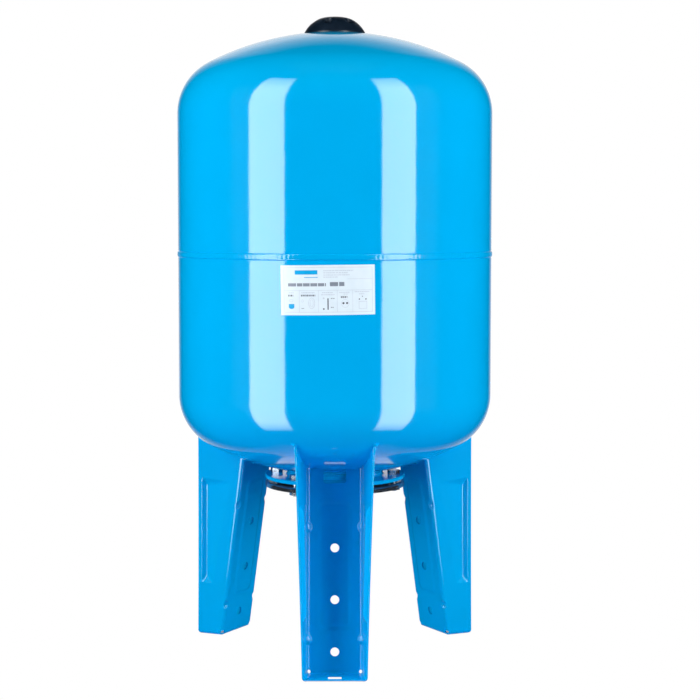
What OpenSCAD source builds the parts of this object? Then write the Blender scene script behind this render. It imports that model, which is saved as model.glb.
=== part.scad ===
// Vertical well pressure tank on three pressed legs, with a replaceable rubber bladder.
// Millimetres. Z is up, the origin lies on the floor under the tank's axis, and the front leg points along -Y.

/* [Tank] */
// Outside diameter of the tank
tank_d = 375; // [340:5:420]
// Thickness of the tank's drawn sheet
shell_t = 1.2; // [0.8:0.1:2]
// Outside radius of the flattened crown of both ends
crown_r = 330; // [290:5:380]
// Outside radius of the knuckle between crown and side
knuckle_r = 67; // [55:1:80]
// Straight side of the lower half, from its knuckle to the girth seam
lower_side_h = 168.5; // [120:0.5:220]
// Straight side of the upper half, from the girth seam to its knuckle
upper_side_h = 166; // [120:0.5:220]
// Height of the lowest point of the bottom crown above the floor
tank_lift = 212.3; // [190:0.1:260]

/* [Girth seam] */
// Height of the lower half's spigot inside the upper half
lap_h = 10; // [6:1:16]
// Height of the slope that leads into the spigot
joggle_h = 3; // [2:0.5:5]
// Height of the weld bead
bead_h = 7; // [6:0.5:12]
// How far the bead stands proud of the sheet
bead_proud = 0.9; // [0.5:0.1:2]

/* [Legs] */
// Thickness of the leg's sheet
leg_t = 2; // [1.5:0.1:3]
// Outside radius of the leg's bends
bend_r = 5; // [4:0.5:7]
// Distance from the tank's side to the web at the floor
web_inset = 44.3; // [38:0.1:52]
// Lean of the web from the vertical
web_lean = 8.5; // [6:0.5:10]
// Width of the web, measured across the sharp corners
web_w = 65; // [58:1:72]
// Splay of each flange from square to the web
flange_splay = 9.6; // [6:0.2:14]
// Reach of the flange from the web to its outer edge, at the floor
flange_reach = 33.4; // [28:0.1:38]
// Lean of the flange's outer edge towards the axis
edge_lean = 1.6; // [0:0.1:2]
// Corner radius at the bottom of the flange's outer edge
edge_corner_r = 4; // [2:0.5:8]
// Diameter of the holes in the web
leg_hole_d = 10; // [8:0.1:13]
// Number of holes in each web
leg_hole_count = 3; // [1:1:3]
// Height of the lowest hole along the web
leg_hole_rise = 26; // [20:1:34]
// Distance between two holes along the web
leg_hole_pitch = 59; // [50:1:62]
// Width of the notch in the top of the web
notch_w = 26; // [16:1:34]
// Depth of the notch below the tank
notch_h = 16; // [8:1:20]
// Corner radius of the notch
notch_corner_r = 3; // [2:0.5:5]
// Width of the recessed panel in the web
web_panel_w = 41; // [30:1:42]
// Bottom of the web's recessed panel, along the web
web_panel_rise = 49; // [44:1:60]
// Length of the web's recessed panel
web_panel_h = 150; // [120:1:156]
// Depth of the web's recessed panel
web_panel_deep = 1.8; // [1:0.1:3]
// Width of the slope around the web's panel
web_panel_slope = 3.5; // [2:0.5:5]
// Corner radius of the web's recessed panel
web_panel_corner_r = 11; // [6:1:14]
// Bottom of the pocket in each flange
pocket_rise = 66; // [56:1:80]
// Height of the pocket in each flange
pocket_h = 132; // [90:1:136]
// Depth of the pocket in each flange
pocket_deep = 3.6; // [2:0.1:4.5]
// Distance from the flange's outer edge to the pocket
pocket_margin = 5; // [5:0.5:10]
// Width of the steep wall of the pocket
pocket_wall = 7.5; // [6:0.5:10]
// Distance from the web to the pocket's root, at its bottom
pocket_low_reach = 21; // [16:0.5:23]
// Distance from the web to the pocket's root, at its top
pocket_high_reach = 15; // [12:0.5:20]
// Corner radius of the pocket
pocket_corner_r = 3; // [2:0.5:4]
// Radius of the stiffening dimples on the bends
dimple_r = 6; // [4:0.5:8]
// Height of the lower dimples along the web
dimple_rise = 40; // [34:1:46]
// Height between the lower and the upper dimples
dimple_pitch = 128; // [100:1:130]
// Radius of the relief holes in the foot's inner corners
relief_r = 3; // [2:0.5:4]
// Width of the drain slot in the foot
foot_slot_w = 17; // [10:1:24]
// Size of the drain slot along the foot
foot_slot_l = 6; // [4:0.5:8]
// Size of the weld between leg and tank
leg_weld = 3; // [2:0.5:4]

/* [Bottom flange] */
// Outside radius of the neck ring
neck_r = 58; // [54:0.5:59]
// Bore radius of the neck ring
neck_bore_r = 45; // [40:0.5:50]
// Size of the weld between neck ring and tank
neck_weld_w = 2.5; // [1.5:0.5:3]
// Height of the collar plate's top below the crown
collar_drop = 0.8; // [0.5:0.1:3]
// Outside radius of the collar plate
collar_r = 84.5; // [81:0.5:92]
// Thickness of the collar plate
collar_t = 4.5; // [3:0.1:5]
// Thickness of the bladder's clamped rim
rim_t = 3.5; // [2:0.1:4]
// Outside radius of the counterflange
flange_r = 84.5; // [84:0.5:92]
// Thickness of the counterflange's sheet
flange_t = 2.5; // [2:0.1:3]
// Height of the counterflange's turned-down rim
flange_rim_h = 6; // [5:0.5:12]
// Radius of the bolt circle
bolt_circle_r = 72; // [70:0.5:73]
// Number of flange bolts
bolt_count = 6; // [4:1:6]
// Turn of the first bolt from the front, towards +X
bolt_turn = 20; // [0:1:60]
// Diameter of the flange bolts
bolt_d = 8; // [6:1:8]
// Length of the flange bolts under the head
bolt_length = 20; // [20:1:30]
// Bolt hole clearance on the radius
bolt_clearance = 0.5; // [0.2:0.1:0.6]

/* [Inlet] */
// Outside diameter of the inlet's pipe thread
thread_d = 33.2; // [26:0.1:34]
// Length of the inlet's pipe thread
thread_length = 22; // [16:1:30]
// Bore of the inlet
inlet_bore_d = 25; // [18:0.5:26]
// Width of the plain shoulder around the inlet's root
shoulder_w = 2; // [1:0.5:4]
// Height of the plain shoulder below the counterflange
shoulder_h = 8; // [6:1:12]
// Size of the weld between the inlet and the counterflange
nipple_weld_w = 2; // [1:0.5:3]

/* [Air valve and cover] */
// Radius of the valve boss
boss_r = 13; // [11:0.5:15]
// Height of the boss above the crown
boss_h = 4; // [3:0.5:5]
// Outside radius of the cover
cover_r = 36.5; // [34:0.5:42]
// Height of the cover above the crown
cover_h = 20.5; // [20.5:0.5:26]
// Wall of the cover
cover_t = 2; // [1.5:0.1:2.2]
// Number of finger dimples round the cover
cover_dimples = 6; // [4:1:8]
// Radius of a finger dimple
cover_dimple_r = 6.5; // [5:0.5:7]

/* [Label] */
// Length of the label, along the surface
label_length = 105; // [60:1:130]
// Height of the label
label_h = 55; // [30:1:70]
// Gap between the girth bead and the label
label_gap = 5; // [1:0.5:10]
// Shift of the label's middle to the left, along the surface
label_shift = 8; // [0:1:20]
// Thickness of the label
label_t = 0.3; // [0.2:0.1:0.5]

/* [Hidden] */
steel_blue = [0.0, 0.66, 0.93];
zinc = [0.62, 0.65, 0.67];
black_plastic = [0.07, 0.09, 0.11];
rubber_black = [0.1, 0.1, 0.1];
brass = [0.78, 0.62, 0.3];
label_white = [0.94, 0.96, 0.97];

LEG_NAMES = ["leg_front", "leg_right", "leg_left"];
LEG_TURNS = [-90, 30, 150];

$fn = 96;
HEX_SIDES = 6;
BLEND_FN = 24;
ARC_STEP = 4;

// Heights along the axis
tank_r = tank_d / 2;
head_turn = asin((tank_r - knuckle_r) / (crown_r - knuckle_r));
head_h = crown_r - (crown_r - knuckle_r) * cos(head_turn);
lower_knuckle_z = tank_lift + head_h;
seam_z = lower_knuckle_z + lower_side_h;
upper_knuckle_z = seam_z + upper_side_h;
crown_top_z = upper_knuckle_z + head_h;
lap_gap = 0.1;
spigot_r = tank_r - shell_t - lap_gap;

// A rounded stretch of an outline, as points from angle a0 to a1
function arc(c, r, a0, a1) =
    let (n = max(1, ceil(abs(a1 - a0) / ARC_STEP)))
    [for (i = [0:n]) let (a = a0 + (a1 - a0) * i / n) [c[0] + r * cos(a), c[1] + r * sin(a)]];
function reversed(list) = [for (i = [len(list) - 1:-1:0]) list[i]];
function moved(points, dz) = [for (p = points) [p[0], p[1] + dz]];
function flipped(points) = [for (p = points) [p[0], -p[1]]];

// A rectangle with round corners about the origin
function rounded_rectangle(w, h, r) =
    concat(
        arc([w / 2 - r, h / 2 - r], r, 0, 90),
        arc([r - w / 2, h / 2 - r], r, 90, 180),
        arc([r - w / 2, r - h / 2], r, 180, 270),
        arc([w / 2 - r, r - h / 2], r, 270, 360)
    );

// A domed end, from the radius of its hole out to its knuckle's end at height 0, set in from the outside by inset
function head_outline(inset, hole_r) =
    concat(
        arc([0, head_h - crown_r], crown_r - inset, 90 - asin(hole_r / (crown_r - inset)), 90 - head_turn),
        arc([tank_r - knuckle_r, 0], knuckle_r - inset, 90 - head_turn, 0)
    );
function crown_z(r) = crown_r - sqrt(crown_r * crown_r - r * r);

// Everything inside the tank's outer surface, grown by extra
module tank_form(extra = 0) {
    rotate_extrude()
        polygon(concat(
            [[0, tank_lift - extra]],
            moved(flipped(head_outline(-extra, 1)), lower_knuckle_z),
            reversed(moved(head_outline(-extra, 1), upper_knuckle_z)),
            [[0, crown_top_z + extra]]
        ));
}

module upper_shell() {
    color(steel_blue)
        rotate_extrude()
            polygon(concat(
                moved(head_outline(0, boss_r), upper_knuckle_z),
                [[tank_r, seam_z], [tank_r - shell_t, seam_z]],
                reversed(moved(head_outline(shell_t, boss_r), upper_knuckle_z))
            ));
}

// The lower half ends in a drawn-in spigot that fits inside the upper half
module lower_shell() {
    color(steel_blue)
        rotate_extrude()
            polygon(concat(
                moved(flipped(head_outline(0, neck_bore_r)), lower_knuckle_z),
                [
                    [tank_r, seam_z - joggle_h],
                    [spigot_r, seam_z],
                    [spigot_r, seam_z + lap_h],
                    [spigot_r - shell_t, seam_z + lap_h],
                    [spigot_r - shell_t, seam_z],
                    [tank_r - shell_t, seam_z - joggle_h]
                ],
                reversed(moved(flipped(head_outline(shell_t, neck_bore_r)), lower_knuckle_z))
            ));
}

// The bead fills the groove over the spigot's slope and stands proud of both halves
module girth_weld() {
    bow_r = (pow(bead_h / 2, 2) + pow(bead_proud, 2)) / (2 * bead_proud);
    bow_turn = asin(bead_h / 2 / bow_r);
    color(steel_blue)
        rotate_extrude()
            polygon(concat(
                arc([tank_r + bead_proud - bow_r, seam_z], bow_r, -bow_turn, bow_turn),
                [[tank_r, seam_z], [spigot_r, seam_z], [tank_r, seam_z - joggle_h]]
            ));
}

// Legs. In a leg's own frame X points away from the tank's axis, and Y runs across the leg.
leg_top_z = lower_knuckle_z;
web_foot_r = tank_r - web_inset;
edge_foot_r = web_foot_r + flange_reach;
lean_slope = tan(web_lean);
splay_slope = tan(flange_splay);
bend_x = web_foot_r + bend_r / cos(web_lean);
bend_y = web_w / 2 - bend_r * tan((90 - flange_splay) / 2);
beyond_edge = flange_reach;

function web_x(z) = web_foot_r - lean_slope * z;
function edge_x(z) = edge_foot_r - tan(edge_lean) * z;
function bend_centre_x(z) = bend_x - lean_slope * z;
function flange_centre_y(x, z) = bend_y + (x - bend_centre_x(z)) * splay_slope;
flange_normal = let (n = [-splay_slope, 1, -lean_slope * splay_slope]) n / norm(n);

// A point of the flange's outer face, at a depth below it
function flange_point(x, z, depth) =
    [x, flange_centre_y(x, z), z] + flange_normal * (bend_r - depth);

// The drawn shape of a leg before trimming: all its corners are spheres of the radius r
module leg_form(r) {
    hull()
        for (side = [-1, 1], z = [bend_r, leg_top_z], out = [0, 1]) {
            x = out * (edge_foot_r + beyond_edge) + (1 - out) * bend_centre_x(z);
            translate([x, side * flange_centre_y(x, z), z])
                sphere(r = r, $fn = BLEND_FN);
        }
}

// What the flange's outer edge leaves of the form, seen from the side
module leg_side_outline() {
    inner_x = web_foot_r / 2;
    translate([0, tank_r, 0])
        rotate([90, 0, 0])
            linear_extrude(height = 2 * tank_r)
                polygon(concat(
                    [[inner_x, leg_top_z], [inner_x, 0]],
                    arc([edge_x(edge_corner_r) - edge_corner_r, edge_corner_r], edge_corner_r, -90, 0),
                    [[edge_x(leg_top_z), leg_top_z]]
                ));
}

// A solid between rings of points, each with as many points as the next
module loft(rings) {
    n = len(rings[0]);
    last = len(rings) - 1;
    polyhedron(
        points = [for (ring = rings) each ring],
        faces = concat(
            [[for (i = [n - 1:-1:0]) i]],
            [for (k = [0:last - 1], i = [0:n - 1])
                [k * n + i, k * n + (i + 1) % n, (k + 1) * n + (i + 1) % n, (k + 1) * n + i]],
            [[for (i = [0:n - 1]) last * n + i]]
        )
    );
}

// The web's own frame: X leaves the web's back face towards the channel's mouth, and Z climbs the web
module on_web() {
    translate([web_foot_r, 0, 0])
        rotate([0, -web_lean, 0])
            children();
}

// A panel that sinks from x towards the tank's axis, with slopes all round and a straight root before it
module web_panel(x, root) {
    function ring(x, set_in) = [
        for (p = rounded_rectangle(
            web_panel_w - 2 * set_in, web_panel_h - 2 * set_in, web_panel_corner_r - set_in))
        [x, p[0], p[1] + web_panel_rise + web_panel_h / 2]
    ];
    on_web()
        loft([ring(x - web_panel_deep, web_panel_slope), ring(x, 0), ring(x + root, 0)]);
}

// The pocket's corners lie on the flange, and its deep line runs beside the steep wall
module flange_pocket(side, sunk) {
    ridge_r = pocket_corner_r / 2;
    low = pocket_rise + pocket_corner_r;
    high = pocket_rise + pocket_h - pocket_corner_r;
    wall_x = pocket_margin + pocket_wall;
    top_slant = pocket_wall / 2;
    end_slope = 2 * pocket_wall / 3;
    function at(x, z, depth) = let (p = flange_point(x, z, depth + sunk)) [p[0], side * p[1], p[2]];
    hull() {
        for (z = [low, high])
            translate(at(edge_x(z) - pocket_margin - pocket_corner_r, z, 0))
                sphere(r = pocket_corner_r, $fn = BLEND_FN / 2);
        translate(at(web_x(low) + pocket_low_reach, low, 0))
            sphere(r = pocket_corner_r, $fn = BLEND_FN / 2);
        translate(at(web_x(high) + pocket_high_reach, high - top_slant, 0))
            sphere(r = pocket_corner_r, $fn = BLEND_FN / 2);
        for (z = [low + end_slope, high - end_slope])
            translate(at(edge_x(z) - wall_x - ridge_r, z, pocket_deep - ridge_r))
                sphere(r = ridge_r, $fn = BLEND_FN / 2);
    }
}

// Dimples that dent the bend from outside
module bend_dimples(side, r) {
    for (rise = [dimple_rise, dimple_rise + dimple_pitch])
        on_web()
            translate([-dimple_r / 2, side * (web_w / 2 + dimple_r / 4), rise])
                sphere(r = r);
}

module web_notch() {
    top_z = tank_lift + crown_z(web_x(tank_lift));
    translate([0, 0, top_z])
        rotate([90, 0, 90])
            linear_extrude(height = web_foot_r)
                polygon(rounded_rectangle(notch_w, 2 * notch_h, notch_corner_r));
}

// Two relief holes where web, flange and foot meet, and a drain slot in the foot
module foot_holes() {
    slot_corner_r = foot_slot_l / 4;
    slot_x = (web_foot_r + edge_foot_r) / 2 - foot_slot_l / 2;
    for (side = [-1, 1])
        translate([web_x(bend_r) + bend_r / 4, side * (web_w / 2 - 0.4 * bend_r), 0.7 * bend_r])
            sphere(r = relief_r);
    translate([slot_x, 0, -1])
        linear_extrude(height = leg_t + 2)
            polygon(rounded_rectangle(foot_slot_l, foot_slot_w, slot_corner_r));
}

module leg(turn) {
    color(steel_blue)
        rotate([0, 0, turn])
            difference() {
                intersection() {
                    difference() {
                        union() {
                            leg_form(bend_r);
                            web_panel(0, leg_t / 2);
                        }
                        difference() {
                            union() {
                                leg_form(bend_r - leg_t);
                                web_panel(leg_t, leg_t / 2);
                            }
                            for (side = [-1, 1]) {
                                flange_pocket(side, leg_t);
                                bend_dimples(side, dimple_r + leg_t);
                            }
                        }
                        for (side = [-1, 1]) {
                            flange_pocket(side, 0);
                            bend_dimples(side, dimple_r);
                        }
                    }
                    leg_side_outline();
                }
                tank_form();
                web_notch();
                foot_holes();
                on_web()
                    for (i = [0:leg_hole_count - 1])
                        translate([-web_panel_deep - 1, 0, leg_hole_rise + i * leg_hole_pitch])
                            rotate([0, 90, 0])
                                cylinder(d = leg_hole_d, h = web_panel_deep + leg_t + 2);
            }
}

// The weld runs along the outside of the leg where it meets the tank
module leg_weld_bead(turn) {
    color(steel_blue)
        rotate([0, 0, turn])
            difference() {
                intersection() {
                    tank_form(leg_weld);
                    leg_form(bend_r + leg_weld);
                    leg_side_outline();
                }
                leg_form(bend_r);
                tank_form();
            }
}

// The bottom flange, from the crown downwards
collar_top_z = tank_lift - collar_drop;
collar_bottom_z = collar_top_z - collar_t;
flange_top_z = collar_bottom_z - rim_t;
flange_bottom_z = flange_top_z - flange_t;
bolt_af = bolt_d * 13 / 8;
bolt_across = bolt_af / cos(180 / HEX_SIDES);
bolt_head_h = bolt_d * 5.3 / 8;
nut_h = bolt_d * 6.5 / 8;
washer_r = bolt_d;
washer_t = 1.6;
bolt_hole_r = bolt_d / 2 + bolt_clearance;
dish_h = 3;

module at_bolts() {
    for (i = [0:bolt_count - 1])
        rotate([0, 0, -90 + bolt_turn + i * 360 / bolt_count])
            translate([bolt_circle_r, 0, 0])
                children();
}

module bolt_holes(z, h) {
    at_bolts()
        translate([0, 0, z])
            cylinder(r = bolt_hole_r, h = h);
}

module neck_collar() {
    root_r = 3;
    edge_r = 1;
    neck_top_z = tank_lift + crown_z(neck_r) + shell_t / 2;
    color(steel_blue)
        difference() {
            rotate_extrude()
                polygon(concat(
                    [[neck_bore_r, collar_bottom_z]],
                    arc([collar_r - edge_r, collar_bottom_z + edge_r], edge_r, -90, 0),
                    arc([collar_r - edge_r, collar_top_z - edge_r], edge_r, 0, 90),
                    arc([neck_r + root_r, collar_top_z + root_r], root_r, 270, 180),
                    [[neck_r, neck_top_z], [neck_bore_r, neck_top_z]]
                ));
            tank_form();
            bolt_holes(collar_bottom_z - 1, collar_t + 2);
        }
}

module neck_weld() {
    root_z = tank_lift + crown_z(neck_r);
    color(steel_blue)
        difference() {
            rotate_extrude()
                polygon([
                    [neck_r, root_z - neck_weld_w],
                    [neck_r + neck_weld_w, root_z],
                    [neck_r + neck_weld_w, root_z + neck_weld_w],
                    [neck_r, root_z + neck_weld_w]
                ]);
            tank_form();
        }
}

// The counterflange is one pressing: a dish round the inlet, a flat ring and a turned-down rim
module counterflange() {
    bend = flange_t + 1;
    dish_r = neck_bore_r - 6;
    color(zinc)
        difference() {
            rotate_extrude()
                polygon(concat(
                    [
                        [nipple_root_r, flange_top_z - dish_h],
                        [dish_r - dish_h, flange_top_z - dish_h],
                        [dish_r, flange_top_z]
                    ],
                    arc([flange_r - bend, flange_top_z - bend], bend, 90, 0),
                    [
                        [flange_r, flange_top_z - flange_rim_h],
                        [flange_r - flange_t, flange_top_z - flange_rim_h]
                    ],
                    arc([flange_r - bend, flange_top_z - bend], bend - flange_t, 0, 90),
                    [
                        [dish_r + flange_t / 3, flange_bottom_z],
                        [dish_r - dish_h + flange_t / 3, flange_bottom_z - dish_h],
                        [nipple_root_r, flange_bottom_z - dish_h]
                    ]
                ));
            bolt_holes(flange_bottom_z - 1, flange_t + 2);
        }
}

nipple_root_r = thread_d / 2 + shoulder_w;
shoulder_z = flange_bottom_z - shoulder_h;
thread_end_z = shoulder_z - thread_length;

module inlet_nipple() {
    chamfer = 1.5;
    nipple_top_z = flange_top_z - dish_h;
    color(zinc)
        rotate_extrude()
            polygon([
                [inlet_bore_d / 2, nipple_top_z],
                [nipple_root_r, nipple_top_z],
                [nipple_root_r, shoulder_z],
                [thread_d / 2, shoulder_z],
                [thread_d / 2, thread_end_z + chamfer],
                [thread_d / 2 - chamfer, thread_end_z],
                [inlet_bore_d / 2, thread_end_z]
            ]);
}

module nipple_weld() {
    root_z = flange_bottom_z - dish_h;
    color(zinc)
        rotate_extrude()
            polygon([
                [nipple_root_r, root_z],
                [nipple_root_r, root_z - nipple_weld_w],
                [nipple_root_r + nipple_weld_w, root_z]
            ]);
}

module flange_bolts() {
    end_chamfer = 1;
    color(zinc)
        at_bolts()
            translate([0, 0, collar_top_z])
                union() {
                    cylinder(d = bolt_across, h = bolt_head_h, $fn = HEX_SIDES);
                    rotate_extrude()
                        polygon([
                            [0, bolt_head_h / 2],
                            [bolt_d / 2, bolt_head_h / 2],
                            [bolt_d / 2, end_chamfer - bolt_length],
                            [bolt_d / 2 - end_chamfer, -bolt_length],
                            [0, -bolt_length]
                        ]);
                }
}

module flange_washers() {
    color(zinc)
        at_bolts()
            translate([0, 0, flange_bottom_z - washer_t])
                difference() {
                    cylinder(r = washer_r, h = washer_t);
                    translate([0, 0, -1])
                        cylinder(r = bolt_d / 2 + bolt_clearance / 2, h = washer_t + 2);
                }
}

module flange_nuts() {
    thread_gap = 0.05;
    color(zinc)
        at_bolts()
            translate([0, 0, flange_bottom_z - washer_t - nut_h])
                difference() {
                    cylinder(d = bolt_across, h = nut_h, $fn = HEX_SIDES);
                    translate([0, 0, -1])
                        cylinder(r = bolt_d / 2 + thread_gap, h = nut_h + 2);
                }
}

// The bladder hangs slack in the tank, and its rim is clamped between collar and counterflange
module bladder() {
    slack = 40;
    wall = 2;
    mouth_gap = 1;
    mouth_r = neck_bore_r - mouth_gap;
    rim_r = bolt_circle_r - bolt_hole_r - 1.5;
    color(rubber_black)
        rotate_extrude()
            polygon(concat(
                [
                    [mouth_r - wall, flange_top_z],
                    [rim_r, flange_top_z],
                    [rim_r, collar_bottom_z],
                    [mouth_r, collar_bottom_z]
                ],
                moved(flipped(head_outline(slack, mouth_r)), lower_knuckle_z),
                reversed(moved(head_outline(slack, 0), upper_knuckle_z)),
                moved(head_outline(slack + wall, 0), upper_knuckle_z),
                reversed(moved(flipped(head_outline(slack + wall, mouth_r - wall)), lower_knuckle_z))
            ));
}

// The air valve stands in a boss on the top crown, under the cover
boss_top_z = crown_top_z + boss_h;
seal_t = 1.5;
valve_hex_h = 3.5;
valve_stem_r = 3.9;
valve_stem_h = 6.5;
valve_bore_r = 1.9;
valve_root_r = 4.2;
thread_fit = 0.05;
stem_top_z = boss_top_z + seal_t + valve_hex_h + valve_stem_h;

module valve_boss() {
    depth = 6;
    color(steel_blue)
        translate([0, 0, crown_top_z - depth])
            difference() {
                cylinder(r = boss_r, h = depth + boss_h);
                translate([0, 0, -1])
                    cylinder(r = valve_root_r, h = depth + boss_h + 2);
            }
}

module valve_seal() {
    seal_r = 7;
    color(rubber_black)
        translate([0, 0, boss_top_z])
            difference() {
                cylinder(r = seal_r, h = seal_t);
                translate([0, 0, -1])
                    cylinder(r = valve_root_r, h = seal_t + 2);
            }
}

module valve_body() {
    hex_af = 12;
    hex_z = boss_top_z + seal_t;
    root_length = 10;
    color(brass)
        difference() {
            union() {
                translate([0, 0, hex_z])
                    cylinder(d = hex_af / cos(180 / HEX_SIDES), h = valve_hex_h, $fn = HEX_SIDES);
                translate([0, 0, hex_z - root_length])
                    cylinder(r = valve_root_r - thread_fit, h = root_length + 1);
                translate([0, 0, hex_z + 1])
                    cylinder(r = valve_stem_r, h = valve_hex_h - 1 + valve_stem_h);
            }
            translate([0, 0, hex_z - root_length - 1])
                cylinder(r = valve_bore_r, h = root_length + valve_hex_h + valve_stem_h + 2);
        }
}

module valve_core() {
    core_length = 14;
    pin_r = 0.6;
    pin_rise = 1.8;
    color(brass)
        union() {
            translate([0, 0, stem_top_z - 1 - core_length])
                cylinder(r = valve_bore_r - thread_fit, h = core_length);
            translate([0, 0, stem_top_z - 2])
                cylinder(r = pin_r, h = pin_rise);
        }
}

module valve_cap() {
    wall = 1.1;
    roof = 1.2;
    head_gap = 0.3;
    skirt = 5;
    inner_r = valve_stem_r + thread_fit;
    color(black_plastic)
        translate([0, 0, stem_top_z - skirt])
            difference() {
                cylinder(r = inner_r + wall, h = skirt + head_gap + roof);
                translate([0, 0, -1])
                    cylinder(r = inner_r, h = skirt + head_gap + 1);
            }
}

// The cover's outside above the crown, set in by inset: a bowed side, a round shoulder and a flat top
cover_base_h = 1;
cover_side_r = 33;
cover_shoulder_r = 7;
cover_shoulder_turn = 60;
cover_side_z = cover_h - cover_shoulder_r - (cover_side_r - cover_shoulder_r) * sin(cover_shoulder_turn);
cover_base_turn = asin((cover_base_h - cover_side_z) / cover_side_r);
cover_side_x = cover_r - cover_side_r * cos(cover_base_turn);
cover_shoulder_x = cover_side_x + (cover_side_r - cover_shoulder_r) * cos(cover_shoulder_turn);

function cover_outline(inset) =
    concat(
        arc([cover_side_x, cover_side_z], cover_side_r - inset, cover_base_turn, cover_shoulder_turn),
        arc([cover_shoulder_x, cover_h - cover_shoulder_r], cover_shoulder_r - inset, cover_shoulder_turn, 90),
        [[0, cover_h - inset]]
    );

module cover_form(inset, foot_z) {
    rotate_extrude()
        polygon(concat(
            [[0, foot_z], [cover_outline(inset)[0][0], foot_z]],
            moved(cover_outline(inset), crown_top_z)
        ));
}

module cover_dimple_balls(r) {
    first_turn = -101;
    ring_r = 0.72 * cover_r;
    for (i = [0:cover_dimples - 1])
        rotate([0, 0, first_turn + i * 360 / cover_dimples])
            translate([ring_r, 0, crown_top_z + cover_h - 1.6])
                sphere(r = r);
}

module top_cover() {
    foot_z = crown_top_z - crown_z(cover_r) - 1;
    sleeve_gap = 0.3;
    sleeve_t = 1.7;
    sleeve_z = crown_top_z + 1.5;
    sleeve_r = boss_r + sleeve_gap;
    color(black_plastic)
        difference() {
            intersection() {
                cover_form(0, foot_z);
                union() {
                    difference() {
                        translate([0, 0, foot_z - 1])
                            cylinder(r = cover_r + 1, h = 2 * cover_h);
                        cover_form(cover_t, foot_z - 2);
                    }
                    cover_dimple_balls(cover_dimple_r + cover_t);
                    translate([0, 0, sleeve_z])
                        difference() {
                            cylinder(r = sleeve_r + sleeve_t, h = cover_h);
                            translate([0, 0, -1])
                                cylinder(r = sleeve_r, h = cover_h - cover_t - (sleeve_z - crown_top_z) + 1);
                        }
                }
            }
            cover_dimple_balls(cover_dimple_r);
            tank_form();
        }
}

module label() {
    glue_t = 0.1;
    turn = label_length / tank_r * 180 / PI;
    top_z = seam_z - bead_h / 2 - label_gap;
    color(label_white)
        rotate([0, 0, -90 - turn / 2 - label_shift / tank_r * 180 / PI])
            rotate_extrude(angle = turn)
                translate([tank_r + glue_t, top_z - label_h])
                    square([label_t, label_h]);
}

upper_shell();
lower_shell();
girth_weld();
neck_collar();
neck_weld();
for (i = [0:len(LEG_NAMES) - 1]) {
    leg(LEG_TURNS[i]);
    leg_weld_bead(LEG_TURNS[i]);
}
bladder();
counterflange();
inlet_nipple();
nipple_weld();
flange_bolts();
flange_washers();
flange_nuts();
valve_boss();
valve_seal();
valve_body();
valve_core();
valve_cap();
top_cover();
label();
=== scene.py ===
import bpy
import bmesh
import math
import numpy as np
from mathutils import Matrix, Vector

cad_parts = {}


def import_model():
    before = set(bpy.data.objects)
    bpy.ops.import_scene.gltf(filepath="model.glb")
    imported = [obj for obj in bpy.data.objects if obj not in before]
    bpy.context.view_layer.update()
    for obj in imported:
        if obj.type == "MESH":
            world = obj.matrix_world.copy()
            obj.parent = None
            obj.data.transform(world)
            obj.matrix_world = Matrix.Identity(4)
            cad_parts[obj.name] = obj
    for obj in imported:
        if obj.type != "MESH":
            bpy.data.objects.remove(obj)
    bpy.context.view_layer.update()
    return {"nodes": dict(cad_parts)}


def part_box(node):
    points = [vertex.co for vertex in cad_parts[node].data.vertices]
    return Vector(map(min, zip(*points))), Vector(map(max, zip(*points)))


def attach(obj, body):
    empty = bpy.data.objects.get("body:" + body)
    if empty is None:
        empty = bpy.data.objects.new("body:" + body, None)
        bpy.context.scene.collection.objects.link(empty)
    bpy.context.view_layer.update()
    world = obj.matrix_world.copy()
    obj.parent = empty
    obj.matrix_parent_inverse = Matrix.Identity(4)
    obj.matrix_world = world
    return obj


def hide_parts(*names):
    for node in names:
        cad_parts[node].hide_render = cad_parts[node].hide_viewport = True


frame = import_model()
nodes = frame["nodes"]

# The part's main sizes in millimetres, as in the CAD model
TANK_R = 187.5
SHELL_T = 1.2
CROWN_R = 330.0
KNUCKLE_R = 67.0
TANK_LIFT = 212.3
HEAD_TURN = math.asin((TANK_R - KNUCKLE_R) / (CROWN_R - KNUCKLE_R))
HEAD_H = CROWN_R - (CROWN_R - KNUCKLE_R) * math.cos(HEAD_TURN)
LOWER_KNUCKLE_Z = TANK_LIFT + HEAD_H
SEAM_Z = LOWER_KNUCKLE_Z + 168.5
UPPER_KNUCKLE_Z = SEAM_Z + 166.0
SPIGOT_R = TANK_R - SHELL_T - 0.1
LEG_TURNS = {"leg_front": -90.0, "leg_right": 30.0, "leg_left": 150.0}


# ---- Mesh helpers. All take millimetres.

def mesh_from(name, points, faces, sharp=30.0, weld=1e-4):
    """A mesh in metres with coinciding points joined, outward faces and smooth shading below the sharp angle."""
    bm = bmesh.new()
    verts = [bm.verts.new(p) for p in points]
    for face in faces:
        bm.faces.new([verts[i] for i in face])
    if weld:
        bmesh.ops.remove_doubles(bm, verts=bm.verts, dist=weld)
        bmesh.ops.dissolve_degenerate(bm, edges=bm.edges, dist=weld)
    bmesh.ops.recalc_face_normals(bm, faces=bm.faces)
    bmesh.ops.scale(bm, vec=(0.001, 0.001, 0.001), verts=bm.verts)
    mesh = bpy.data.meshes.new(name)
    bm.to_mesh(mesh)
    bm.free()
    mesh.shade_smooth()
    mesh.set_sharp_from_angle(angle=math.radians(sharp))
    return mesh


def piece(name, mesh, material, slot, *replaced):
    """A visual piece that rides on the frame's one body."""
    obj = bpy.data.objects.new(name, mesh)
    bpy.context.scene.collection.objects.link(obj)
    for m in material if isinstance(material, list) else [material]:
        mesh.materials.append(m)
    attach(obj, "root")
    if replaced:
        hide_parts(*replaced)
    return obj


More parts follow.
